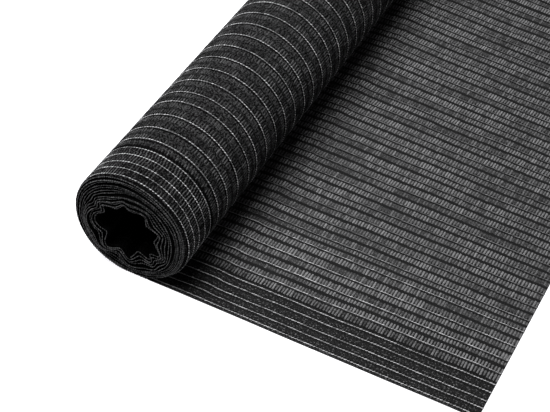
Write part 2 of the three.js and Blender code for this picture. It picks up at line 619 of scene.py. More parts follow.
@dataclass(frozen=True)
class NetFinish:
    """Knitted polyethylene netting: tapes laid across chain-stitched rows."""

    name: str
    backing: Backing
    tape: Colour
    tape_light: Colour
    # On the wound netting this dark is painted shade: the roll's inside seen through the openings,
    # and its inner turns
    behind: Colour
    dense: Colour
    chain: Colour
    rim: Colour
    speck: Colour
    roughness: float = 0.62
    gloss: float = 0.08
    stripe: float = 1.0
    stripe_mm: float = 1.7
    mottle_mm: float = 0.85
    # Painted shade: how dark the slots between the tapes are drawn where the net lies on more net
    slot_shade: float = 0.0
    near_bay_dark: float = 0.0
    open_share: float = 0.0
    slot_open: float = 0.0
    # Painted shade: the turns of the roll further in than this place along the net are darkened
    inner_shade_from_mm: float = -318.0
    marks: KnitMarks = KnitMarks()

    def build(self, plan: KnitPlan) -> bpy.types.Material:
        """Builds the material.

        Args:
            plan: Where the rows of the knit lie.

        Returns:
            The material, which reads the piece's own UV map.
        """
        tree, marks = ShaderTree(self.name), self.marks
        where = tree.parts(tree.out("ShaderNodeUVMap", uv_map=UV_NAME))
        along, across = where[0] * MM_PER_M, where[1] * MM_PER_M

        def grain(size_mm: Span, start: float = 0.0, detail: float = 2.0) -> ShaderValue:
            """Reads noise whose grain has a size along and across the net."""
            place = tree.point(along / size_mm[0], across / size_mm[1], start)
            return tree.noise(place, detail)

        inward = across.lowest(plan.width_mm - across)
        row = self._row(tree, inward, plan)
        wider = plan.field_pitch_mm - marks.selvedge_pitch_mm
        in_field = inward.ramp(plan.selvedge_mm, marks.field_from_mm)
        pitch = in_field * wider + marks.selvedge_pitch_mm
        selvedge = inward.ramp(*(plan.selvedge_mm + limit for limit in marks.selvedge))
        from_line = ((row + 0.5).fract() - 0.5) * pitch
        line = abs(from_line).ramp(*marks.line)
        shade = abs(from_line + marks.shade_mm).ramp(*marks.shade)
        ragged = (grain(marks.ragged_grain_mm) - 0.5) * marks.ragged_mm
        from_stripe = (row.fract() - 0.5) * pitch + plan.stripe_shift_mm + ragged
        stripe = abs(from_stripe).ramp(self.stripe_mm, self.stripe_mm - marks.stripe_fade_mm)
        border = abs(inward + ragged - marks.border_mm).ramp(*marks.border)
        dense = (stripe * self.stripe * (1 - selvedge)).highest(border)
        slot = self._slots(tree, along, row, plan)
        mottle = grain((self.mottle_mm, self.mottle_mm)).ramp(*marks.mottle)
        speckle = grain(marks.speckle_grain_mm, 7.0, 1.0).ramp(*marks.speckle)
        # Painted shade: on the wound netting the slots between the tapes are darkened as the shade
        # seen through them
        pit = self._pits(along, from_line, plan).highest(slot * self.slot_shade)
        # Painted shade: the turns inside the roll are darkened to the behind colour and lose their
        # chain lines
        painted_inner_shade = along.ramp(self.inner_shade_from_mm, self.inner_shade_from_mm - marks.inner_shade_over_mm)
        painted_inner_shade = painted_inner_shade * marks.painted_inner_shade
        beads = self._beads(tree, along, plan)
        close = tree.mix(speckle.highest(mottle * 0.15), self.behind, self.speck)
        near_bay = row.fract().ramp(*marks.near_bay) * self.near_bay_dark
        colour = tree.mix(mottle, self.tape, self.tape_light)
        for share, over in (
            (near_bay, self.behind),
            (selvedge, close),
            (dense.highest(shade * 0.8), self.dense),
            (pit * 0.9, self.behind),
            (painted_inner_shade, self.behind),
            (line * beads * (1 - painted_inner_shade), self.chain),
            (inward.ramp(*marks.edge) * beads, self.rim),
        ):
            colour = tree.mix(share, colour, over)
        blotch = (grain(marks.blotch_grain_mm) - 0.5) * marks.blotch + 1.0
        height = mottle * 0.6 + line * beads * 0.9 + dense * 0.3 - pit * 0.8
        inputs = {
            "Base Color": tree.scaled(colour, blotch),
            "Roughness": (mottle - 0.5) * -0.2 + self.roughness,
            "Specular IOR Level": self.gloss,
            "Normal": tree.bump(height, strength=0.8, depth_m=0.0005),
        }
        if self.backing is Backing.OPEN_FLOOR:
            bay = (row * 2).floor()
            zone = tree.noise(tree.point(along / marks.zone_mm, bay * 5.3)).ramp(*marks.zone)
            gap = slot * (zone * 0.75 + 0.25) * self.slot_open + self.open_share
            solid = dense.highest(line).highest(selvedge * 0.86).highest(shade * 0.7)
            inputs["Alpha"] = 1 - gap * (1 - solid)
        return tree.surfaced(inputs)

    def _row(self, tree: ShaderTree, inward: ShaderValue, plan: KnitPlan) -> ShaderValue:
        """Counts rows in from the edge, so that a chain line lies at each whole number.

        Args:
            tree: The material's tree.
            inward: Millimetres in from the nearer edge.
            plan: The knit's sizes.

        Returns:
            The row count.
        """
        last = plan.edge_lines_mm[-1]
        count = len(plan.edge_lines_mm)
        places = [(0.0, 0.0)]
        places += [(mm / last, (n + 1) / count) for n, mm in enumerate(plan.edge_lines_mm)]
        edge = tree.curve((inward / last).lowest(1.0), places) * count
        return edge + (inward - last).highest(0.0) / plan.field_pitch_mm

    def _slots(
        self, tree: ShaderTree, along: ShaderValue, row: ShaderValue, plan: KnitPlan
    ) -> ShaderValue:
        """Draws the slots between the tapes.

        Args:
            tree: The material's tree.
            along: Millimetres along the net.
            row: The row count.
            plan: The knit's sizes.

        Returns:
            The slots, from 0 to 1.
        """
        bay = (row * 2).floor()
        warp = (tree.noise(tree.point(along / self.marks.warp_mm, bay * 3.7)) - 0.5) * 1.2
        beat = along / plan.stitch_mm + warp + row * 0.35 + bay * 0.37
        chance = tree.scatter(beat, bay)
        return abs(beat.fract() - 0.5).ramp(*self.marks.slot) * (chance * 0.8 + 0.2)

    def _pits(self, along: ShaderValue, from_line: ShaderValue, plan: KnitPlan) -> ShaderValue:
        """Draws the small dark triangles that lie against the chain lines."""
        reach, marks = abs(from_line), self.marks
        width = reach.ramp(*marks.pit_breadth) * 0.34 + 0.02
        beat = abs((along / plan.stitch_mm + 0.5).fract() - 0.5)
        far, near = (reach.ramp(*span) for span in marks.pit_ends)
        return (width - beat).ramp(*marks.pit) * far * near

    def _beads(self, tree: ShaderTree, along: ShaderValue, plan: KnitPlan) -> ShaderValue:
        """Breaks a chain line into its stitches."""
        beat = along / plan.stitch_mm
        chance = tree.scatter(beat, 3.0)
        return abs(beat.fract() - 0.5).ramp(*self.marks.bead) * (chance * 0.6 + 0.4)


@dataclass(frozen=True)
class StitchFinish:
    """Tape or yarn whose stitches differ a little in tone, each by its own attribute.

    The yarn may be dimmer in the field of the net than beside its edges.
    """

    name: str
    dark: Colour
    light: Colour
    roughness: float = 0.5
    gloss: float = 0.2
    grain_per_m: float = 850.0
    field_share: float = 1.0
    half_width: float = 0.0
    dimmed_over: Span = (0.085, 0.125)

    def build(self) -> bpy.types.Material:
        """Builds the material.

        Returns:
            The material, which reads object coordinates and the stitches' tone.
        """
        tree = ShaderTree(self.name)
        place = tree.object_place()
        own = tree.node("ShaderNodeAttribute", attribute_name=TONE_NAME)
        tone = tree.value(own.outputs["Fac"])
        inputs = {0: place, "Scale": self.grain_per_m}
        grain = tree.noise(tree.out("ShaderNodeVectorMath", inputs, operation="SCALE"))
        from_edge = self.half_width - abs(tree.parts(place)[1])
        strength = 1 - from_edge.ramp(*self.dimmed_over) * (1 - self.field_share)
        share = (tone * 0.8 + (grain - 0.5) * 1.4).highest(0.0).lowest(1.0)
        inputs = {
            "Base Color": tree.scaled(tree.mix(share, self.dark, self.light), strength),
            "Roughness": grain * 0.2 + (self.roughness - 0.1),
            "Specular IOR Level": self.gloss,
            "Normal": tree.bump(grain, strength=0.3, depth_m=0.0002),
        }
        return tree.surfaced(inputs)


class GeometryTree(NodeTree):
    """A Geometry Nodes tree with named inputs, built in the script."""

    def __init__(self, name: str) -> None:
        """Starts a tree that takes and gives a geometry."""
        super().__init__(bpy.data.node_groups.new(name, "GeometryNodeTree"))
        for way in ("INPUT", "OUTPUT"):
            self.tree.interface.new_socket(
                "Geometry", in_out=way, socket_type="NodeSocketGeometry"
            )
        self.entry = self.tree.nodes.new("NodeGroupInput")
        self.exit = self.tree.nodes.new("NodeGroupOutput")
        self.defaults: dict[str, Any] = {}

    def given(self, name: str, value: float | int) -> Socket:
        """Adds a named input, whole where its value is, and remembers the value."""
        kind = "NodeSocketInt" if isinstance(value, int) else "NodeSocketFloat"
        item = self.tree.interface.new_socket(name, in_out="INPUT", socket_type=kind)
        self.defaults[item.identifier] = value
        return self.entry.outputs[name]

    def end(self, geometry: Socket, material: bpy.types.Material) -> None:
        """Realizes the instances, sets the material and closes the tree."""
        real = self.out("GeometryNodeRealizeInstances", {0: geometry})
        inputs = {"Geometry": real, "Material": material}
        self.tree.links.new(self.out("GeometryNodeSetMaterial", inputs), self.exit.inputs[0])

    def bake(self, name: str, guide: bpy.types.Mesh) -> bpy.types.Object:
        """Runs the tree over a guide mesh and keeps the result as a plain mesh.

        Args:
            name: The new piece's name.
            guide: The mesh that the tree starts from.

        Returns:
            An object at the origin with no modifier.
        """
        carrier = link(bpy.data.objects.new(f"{name}_guide", guide))
        modifier = carrier.modifiers.new("rows", "NODES")
        modifier.node_group = self.tree
        for identifier, value in self.defaults.items():
            modifier[identifier] = value
        graph = bpy.context.evaluated_depsgraph_get()
        graph.update()
        mesh = bpy.data.meshes.new_from_object(
            carrier.evaluated_get(graph), preserve_all_data_layers=True, depsgraph=graph
        )
        carrier.modifiers.remove(modifier)
        bpy.data.objects.remove(carrier)
        mesh.name = name
        return link(bpy.data.objects.new(name, mesh))


def link(piece: bpy.types.Object) -> bpy.types.Object:
    """Puts an object into the scene and gives it back."""
    bpy.context.scene.collection.objects.link(piece)
    return piece


def mesh_object(
    name: str, points: np.ndarray, faces: np.ndarray, flat_map: np.ndarray | None = None
) -> bpy.types.Object:
    """Makes an object from arrays.

    Args:
        name: The piece's name.
        points: One row for each vertex, in metres.
        faces: Four vertex numbers for each face.
        flat_map: The place of each vertex on the flat net, in metres.

    Returns:
        The object, smooth but for its sharp edges, with its faces pointing out.
    """
    mesh = bpy.data.meshes.new(name)
    mesh.from_pydata(points.tolist(), [], faces.tolist())
    work = bmesh.new()
    work.from_mesh(mesh)
    bmesh.ops.recalc_face_normals(work, faces=work.faces)
    work.to_mesh(mesh)
    work.free()
    if flat_map is not None:
        write_map(mesh, flat_map)
    smooth(mesh)
    return link(bpy.data.objects.new(name, mesh))


def smooth(mesh: bpy.types.Mesh) -> None:
    """Shades a mesh smooth but for its sharp edges."""
    mesh.shade_smooth()
    mesh.set_sharp_from_angle(angle=SHARP_ANGLE)


def write_map(mesh: bpy.types.Mesh, flat_map: np.ndarray) -> None:
    """Writes each vertex's place on the flat net to the mesh's UV map."""
    corners = np.zeros(len(mesh.loops), np.int32)
    mesh.loops.foreach_get("vertex_index", corners)
    layer = mesh.uv_layers.new(name=UV_NAME)
    layer.data.foreach_set("uv", flat_map[corners].astype(np.float32).ravel())


def way_out(path: np.ndarray) -> np.ndarray:
    """Finds the way out of the cloth along its middle line.

    Args:
        path: Points as X and height.

    Returns:
        A unit vector for each point.
    """
    way = np.gradient(path, axis=0)
    way = way / np.linalg.norm(way, axis=1, keepdims=True)
    return np.stack([-way[:, 1], way[:, 0]], axis=1)


def staggered(points: np.ndarray, line_mm: float) -> np.ndarray:
    """Starts each row a part of a stitch later than its neighbour.

    Args:
        points: The row's points.
        line_mm: The row's place across the net.

    Returns:
        The points, of which the first has moved towards the second.
    """
    late = (line_mm * ROW_START_PER_MM) % 1.0
    points[0] += (points[1] - points[0]) * late
    return points


@dataclass
class WoundNet:
    """The netting that is still on the roll, as one sheet in a spiral."""

    plan: KnitPlan
    form: WoundForm
    axis_x: float
    near_y: float
    stations: tuple[Station, ...] = STATIONS
    rim_sway_mm: Span = (0.7, 0.4)
    sway_reach_mm: float = 12.0
    sway_length_mm: float = 11.3
    step_turns: float = 0.4
    held_turns: float = 0.3
    inner_out_mm: float = 1.8
    recess_mm: float = 0.7
    line_turns: float = 1.02
    line_skip: int = 8
    length_m: float = field(init=False, default=0.0)
    along_mm: np.ndarray = field(init=False, default_factory=lambda: np.zeros(0))

    def build(self, material: bpy.types.Material) -> bpy.types.Object:
        """Builds the wound sheet.

        Args:
            material: The net's finish.

        Returns:
            The piece, in place.
        """
        middles = [self.form.section(s.drawn_in_mm, s.fold_turn) for s in self.stations]
        plain = middles[len(middles) // 2]
        steps = np.linalg.norm(np.diff(plain, axis=0), axis=1)
        travelled = np.concatenate([[0], np.cumsum(steps)])
        self.along_mm = self.form.lip_mm - travelled
        self.length_m = float(travelled[-1]) * MM
        layers = [
            self._layer(station, middle, side)
            for side in (1, -1)
            for station, middle in zip(self.stations, middles)
        ]
        points = np.concatenate([layer[0] for layer in layers])
        flat_map = np.concatenate([layer[1] for layer in layers])
        faces = self._faces(len(self.stations), len(travelled))
        piece = mesh_object("wound_net", points, faces, flat_map)
        piece.data.materials.append(material)
        return piece

    def _layer(self, station: Station, middle: np.ndarray, side: int) -> Path:
        """Places one face of the cloth at one station.

        Args:
            station: The cut across the roll.
            middle: The cloth's middle line there.
            side: 1 for the outer face and -1 for the inner one.

        Returns:
            The vertices in metres and their places on the flat net.
        """
        half = self.form.cloth_mm / 2 * station.fullness
        place = middle + way_out(middle) * half * side
        across = np.full_like(self.along_mm, station.along_mm)
        pattern = across + self.plan.shift_mm(self.along_mm, across)
        points = self._in_room(place, self._along_roll(station.along_mm))
        return points, np.stack([self.along_mm, pattern], axis=1) * MM

    def _in_room(self, place: np.ndarray, along_mm: np.ndarray) -> np.ndarray:
        """Puts points of a cut, at their places along the roll, into the room in metres."""
        x, height = self.axis_x + place[:, 0] * MM, place[:, 1] * MM
        return np.stack([x, self.near_y + along_mm * MM, height], axis=1)

    def _along_roll(self, along_mm: float) -> np.ndarray:
        """Sways each turn's rim in and out a little near the roll's ends.

        Args:
            along_mm: The station's place along the roll.

        Returns:
            The place along the roll of each of the station's points, in millimetres.
        """
        to_end = min(along_mm, self.plan.width_mm - along_mm)
        hold = max(0.0, 1 - to_end / self.sway_reach_mm)
        slow, quick = self.rim_sway_mm
        turn = np.concatenate([np.zeros(self.form.foot_steps), self.form.turns_in()])
        sway = slow * np.sin(math.pi * turn + 0.9 * np.sin(0.8 * turn))
        sway = sway + quick * np.sin(self.along_mm / self.sway_length_mm + 1)
        past_inner = turn - self.form.inner_start + self.step_turns
        inner = np.clip(past_inner / self.step_turns, 0, 1)
        between = np.clip((turn - self.form.outer_turns) / self.step_turns, 0, 1) * (1 - inner)
        sway = sway - self.inner_out_mm * inner + self.recess_mm * between
        free = np.clip(turn - self.held_turns, 0, 1)
        inward = 1 if along_mm < self.plan.width_mm / 2 else -1
        return along_mm + inward * sway * hold * free

    @staticmethod
    def _faces(stations: int, count: int) -> np.ndarray:
        """Joins the layers into one closed sheet.

        Args:
            stations: How many stations each face of the cloth has.
            count: How many points each station has.

        Returns:
            Four vertex numbers for each face.
        """
        number = np.arange(2 * stations * count).reshape(2, stations, count)

        def quads(a: np.ndarray, b: np.ndarray, c: np.ndarray, d: np.ndarray) -> np.ndarray:
            """Lists the faces between four runs of vertices."""
            return np.stack([a.ravel(), b.ravel(), c.ravel(), d.ravel()], axis=1)

        top, under = number
        runs = [
            quads(top[:-1, :-1], top[:-1, 1:], top[1:, 1:], top[1:, :-1]),
            quads(under[:-1, :-1], under[1:, :-1], under[1:, 1:], under[:-1, 1:]),
        ]
        for end in (0, -1):
            runs.append(quads(top[end, :-1], under[end, :-1], under[end, 1:], top[end, 1:]))
            runs.append(quads(top[:-1, end], top[1:, end], under[1:, end], under[:-1, end]))
        return np.concatenate(runs)

    def outside_line(self, line_mm: float) -> Path:
        """Follows one chain line once round the outside of the roll.

        Args:
            line_mm: The line's straight place across the net.

        Returns:
            Points on the cloth's outer face, and the way out at each of them.
        """
        middle = self.form.section(self._drawn_in(line_mm), 0.0)
        count = self.form.foot_steps + int(self.form.steps_a_turn * self.line_turns)
        outward = way_out(middle)[:count]
        place = middle[:count] + outward * self.form.cloth_mm / 2
        points = self._in_room(place, self.plan.place_mm(line_mm, self.along_mm[:count]))
        facing = np.insert(outward, 1, 0.0, axis=1)
        return staggered(points[self.line_skip :], line_mm), facing[self.line_skip :]

    def rim(self, rim_mm: float) -> Path:
        """Follows the edge of the net through all the turns at one end of the roll.

        Args:
            rim_mm: 0 for the near end and the net's width for the far one.

        Returns:
            Points along the edge, and the way out of the cloth at each of them.
        """
        station = self.stations[0 if rim_mm < self.plan.width_mm / 2 else -1]
        middle = self.form.section(station.drawn_in_mm, station.fold_turn)
        points = self._in_room(middle, self._along_roll(station.along_mm))
        return points[1:], np.insert(way_out(middle), 1, 0.0, axis=1)[1:]

    def _drawn_in(self, along_mm: float) -> float:
        """Reads how far the top is drawn in at a place along the roll."""
        places = [s.along_mm for s in self.stations]
        return float(np.interp(along_mm, places, [s.drawn_in_mm for s in self.stations]))


@dataclass
class LooseNet:
    """The last stretch of netting, which lies flat beside the roll."""

    plan: KnitPlan
    axis_x: float
    near_y: float
    start_mm: float
    end_mm: float
    cloth_mm: float = 0.45
    rise_mm: float = 0.6
    swell_length_mm: Span = (34.0, 13.0)
    swell_breadth_mm: Span = (61.0, 37.0)
    cells_along: int = 60
    cells_across: int = 180
    clear_mm: float = 30.0
    weld_m: float = 1e-6
    line_gap_mm: float = 0.05
    line_points: int = 90

    def build(self, material: bpy.types.Material) -> bpy.types.Object:
        """Builds the flat sheet with Geometry Nodes.

        Args:
            material: The net's finish.

        Returns:
            The piece, in place.
        """
        tree = GeometryTree("loose net")
        size = {
            "Size X": tree.given("Length", (self.end_mm - self.start_mm) * MM),
            "Size Y": tree.given("Width", self.plan.width_mm * MM),
            "Vertices X": tree.given("Columns", self.cells_along + 1),
            "Vertices Y": tree.given("Rows", self.cells_across + 1),
        }
        grid = tree.out("GeometryNodeMeshGrid", size)
        raised = {
            "Mesh": grid,
            "Offset": tree.out("ShaderNodeCombineXYZ", {"Z": 1.0}),
            "Offset Scale": tree.given("Cloth", self.cloth_mm * MM),
            "Individual": False,
        }
        thick = tree.out("GeometryNodeExtrudeMesh", raised, mode="FACES")
        under = tree.out("GeometryNodeFlipFaces", {"Mesh": grid})
        both = tree.node("GeometryNodeJoinGeometry")
        for face in (thick, under):
            tree.tree.links.new(face, both.inputs[0])
        joined = {"Geometry": both.outputs[0], "Distance": self.weld_m}
        tree.end(tree.out("GeometryNodeMergeByDistance", joined), material)
        piece = tree.bake("loose_net", bpy.data.meshes.new("loose_net_seed"))
        self._settle(piece.data)
        return piece

    def _settle(self, mesh: bpy.types.Mesh) -> None:
        """Moves the flat sheet to its place, gives it its swells and maps it.

        Args:
            mesh: The sheet, which lies in the middle of the room.
        """
        middle = (self.start_mm + self.end_mm) / 2 * MM
        shift = Vector((self.axis_x + middle, self.near_y + self.plan.width_mm * MM / 2, 0))
        mesh.transform(Matrix.Translation(shift))
        points = np.zeros(len(mesh.vertices) * 3)
        mesh.vertices.foreach_get("co", points)
        points = points.reshape(-1, 3)
        along = (points[:, 0] - self.axis_x) / MM
        across = (points[:, 1] - self.near_y) / MM
        points[:, 2] += self.lift_mm(along, across) * MM
        mesh.vertices.foreach_set("co", points.ravel())
        pattern = across + self.plan.shift_mm(along, across)
        write_map(mesh, np.stack([along, pattern], axis=1) * MM)
        smooth(mesh)

    def lift_mm(self, along: np.ndarray, across: np.ndarray) -> np.ndarray:
        """Says how far the sheet stands off the floor in its slight swells.

        Args:
            along: Millimetres along the net from the foot of the roll.
            across: Millimetres across the net from its near edge.

        Returns:
            The height of the sheet's underside in millimetres.
        """
        (long, short), (broad, narrow) = self.swell_length_mm, self.swell_breadth_mm
        swell = 0.5 + 0.3 * np.sin(along / long + across / broad)
        swell = swell + 0.2 * np.sin(along / short - across / narrow)
        clear = np.clip((along - self.start_mm) / self.clear_mm, 0, 1)
        return self.rise_mm * swell * clear

    def line(self, line_mm: float) -> Path:
        """Follows one chain line over the flat sheet.

        Args:
            line_mm: The line's straight place across the net.

        Returns:
            Points just above the sheet, and the way up at each of them.
        """
        along = np.linspace(self.start_mm + 1, self.end_mm - 1, self.line_points)
        across = self.plan.place_mm(line_mm, along)
        height = (self.cloth_mm + self.line_gap_mm + self.lift_mm(along, across)) * MM
        x, y = self.axis_x + along * MM, self.near_y + across * MM
        return np.stack([x, y, height], axis=1), np.tile([0.0, 0.0, 1.0], (len(along), 1))


class StitchShape(Enum):
    """The form of one repeated stitch."""

    GRAIN = "grain of a chain"
    TAPE = "ridge of a folded tape"


@dataclass(frozen=True)
class StitchRows:
    """Rows of one stitch, strung along the net on its outer face.

    The size of a stitch is given along the net, across it and out of it, in metres. Tapes take
    their breadth across from the bay in which they lie.
    """

    shape: StitchShape
    pitch_mm: float
    size_m: Place
    slant_degrees: float = 0.0
    roll_degrees: float = 0.0
    spread: Span = (0.86, 1.12)
    patch_per_m: Place = (30.0, 75.0, 30.0)
    patch: Span = (0.34, 0.60)
    patch_share: float = 0.5
    seed: int = 7

    def build(
        self,
        name: str,
        rows: Sequence[Span],
        follow: Callable[[float], Path],
        material: bpy.types.Material,
    ) -> bpy.types.Object:
        """Strings stitches along every row of a piece.

        Args:
            name: The new piece's name.
            rows: The place of each row across the net and its breadth, in millimetres.
            follow: Gives a row's points and the way out of the cloth at each.
            material: The stitches' finish.

        Returns:
            The stitches as one plain mesh.
        """
        guide = self._guide(f"{name}_rows", rows, follow)
        tree = GeometryTree(name)
        pitch = tree.given("Stitch", self.pitch_mm * MM)
        slant = tree.given("Slant", math.radians(self.slant_degrees))
        lean = tree.given("Lean", math.radians(self.roll_degrees))
        seed = tree.given("Seed", self.seed)

        def read(attribute: str, kind: str) -> Socket:
            """Reads one of the guide's attributes."""
            inputs = {"Name": attribute}
            return tree.out("GeometryNodeInputNamedAttribute", inputs, data_type=kind)

        curves = tree.out("GeometryNodeMeshToCurve", {0: tree.entry.outputs[0]})
        inputs = {"Curve": curves, "Length": pitch}
        spaced = tree.out("GeometryNodeResampleCurve", inputs, mode="LENGTH")
        inputs = {"Vector": tree.out("GeometryNodeInputTangent")}
        turned = tree.out("FunctionNodeAlignRotationToVector", inputs, axis="X")
        inputs = {"Rotation": turned, "Vector": read(FACING_NAME, "FLOAT_VECTOR")}
        align = {"axis": "Z", "pivot_axis": "X"}
        settled = tree.out("FunctionNodeAlignRotationToVector", inputs, **align)
        vary = self._random(tree, self.spread, seed)
        inputs = {0: read(BREADTH_NAME, "FLOAT"), 1: vary}
        ragged = tree.out("ShaderNodeMath", inputs, operation="MULTIPLY")
        inputs = {
            "Points": self._toned(tree, spaced, seed),
            "Instance": self._stitch(tree),
            "Rotation": settled,
            "Scale": tree.out("ShaderNodeCombineXYZ", {0: vary, 1: ragged, 2: vary}),
        }
        placed = tree.out("GeometryNodeInstanceOnPoints", inputs)
        evenly = tree.out("ShaderNodeCombineXYZ", {0: lean, 1: lean, 2: lean})
        inputs = {0: self._random_way(tree, seed), 1: evenly}
        wobble = tree.out("ShaderNodeVectorMath", inputs, operation="MULTIPLY")
        inputs = {0: wobble, 1: tree.out("ShaderNodeCombineXYZ", {"Z": slant})}
        turn = tree.out("ShaderNodeVectorMath", inputs, operation="ADD")
        inputs = {"Instances": placed, "Rotation": turn, "Local Space": True}
        tree.end(tree.out("GeometryNodeRotateInstances", inputs), material)
        return tree.bake(name, guide)

    def _stitch(self, tree: GeometryTree) -> Socket:
        """Makes one stitch, a unit long across the net.

        Args:
            tree: The stitches' tree.

        Returns:
            The stitch's geometry.
        """
        along, across, out = self.size_m
        if self.shape is StitchShape.GRAIN:
            ball = tree.out("GeometryNodeMeshIcoSphere", {"Radius": 1.0, "Subdivisions": 1})
            inputs = {"Geometry": ball, "Scale": (along, across, out)}
            grain = tree.out("GeometryNodeTransform", inputs)
            return tree.out("GeometryNodeSetShadeSmooth", {"Geometry": grain})
        inputs = {"Vertices": 3, "Radius": 1.0, "Depth": 1.0}
        prism = tree.out("GeometryNodeMeshCylinder", inputs, fill_type="NGON")
        inputs = {"Geometry": prism, "Scale": (out, along, across)}
        inputs["Rotation"] = (math.radians(90), math.radians(-90), 0.0)
        return tree.out("GeometryNodeTransform", inputs)

    def _toned(self, tree: GeometryTree, points: Socket, seed: Socket) -> Socket:
        """Gives each stitch a tone, part by chance and part by patches of the net.

        Args:
            tree: The stitches' tree.
            points: Where the stitches stand.
            seed: The tree's seed.

        Returns:
            The points with their tone.
        """
        inputs = {0: tree.out("GeometryNodeInputPosition"), 1: self.patch_per_m}
        scaled = tree.out("ShaderNodeVectorMath", inputs, operation="MULTIPLY")
        inputs = {"Vector": scaled, "Scale": 1.0, "Detail": 1.0}
        inputs = {"Value": tree.out("ShaderNodeTexNoise", inputs), "To Max": self.patch_share}
        inputs |= {"From Min": self.patch[0], "From Max": self.patch[1]}
        patch = tree.out("ShaderNodeMapRange", inputs, interpolation_type="SMOOTHSTEP")
        chance = self._random(tree, (0.0, 1.0 - self.patch_share), seed)
        tone = tree.out("ShaderNodeMath", {0: patch, 1: chance}, operation="ADD")
        inputs = {"Geometry": points, "Name": TONE_NAME, "Value": tone}
        stored = {"data_type": "FLOAT", "domain": "POINT"}
        return tree.out("GeometryNodeStoreNamedAttribute", inputs, **stored)

    @staticmethod
    def _random(tree: GeometryTree, span: Span, seed: Socket) -> Socket:
        """Draws a number for each stitch."""
        inputs = {"Seed": seed, 2: span[0], 3: span[1]}
        return tree.node("FunctionNodeRandomValue", inputs, data_type="FLOAT").outputs[1]

    @staticmethod
    def _random_way(tree: GeometryTree, seed: Socket) -> Socket:
        """Draws a turn for each stitch about its three axes, as shares of the lean."""
        inputs = {"Seed": seed, 0: [-share for share in WOBBLE_SHARES], 1: WOBBLE_SHARES}
        return tree.out("FunctionNodeRandomValue", inputs, data_type="FLOAT_VECTOR")

    def _guide(
        self, name: str, rows: Sequence[Span], follow: Callable[[float], Path]
    ) -> bpy.types.Mesh:
        """Makes a mesh of edges that the stitches follow.

        Args:
            name: The mesh's name.
            rows: The place of each row and its breadth, in millimetres.
            follow: Gives a row's points and the way out of the cloth at each.

        Returns:
            The mesh, with the way out and the breadth as point attributes.
        """
        runs = [follow(place) for place, _ in rows]
        points = np.concatenate([run[0] for run in runs])
        facing = np.concatenate([run[1] for run in runs])
        breadths = np.concatenate(
            [np.full(len(run[0]), reach * MM) for run, (_, reach) in zip(runs, rows)]
        )
        edges: list[tuple[int, int]] = []
        start = 0
        for places, _ in runs:
            edges += [(start + i, start + i + 1) for i in range(len(places) - 1)]
            start += len(places)
        mesh = bpy.data.meshes.new(name)
        mesh.from_pydata(points.tolist(), edges, [])
        out = mesh.attributes.new(FACING_NAME, "FLOAT_VECTOR", "POINT")
        out.data.foreach_set("vector", facing.astype(np.float32).ravel())
        breadth = mesh.attributes.new(BREADTH_NAME, "FLOAT", "POINT")
        breadth.data.foreach_set("value", breadths.astype(np.float32))
        return mesh


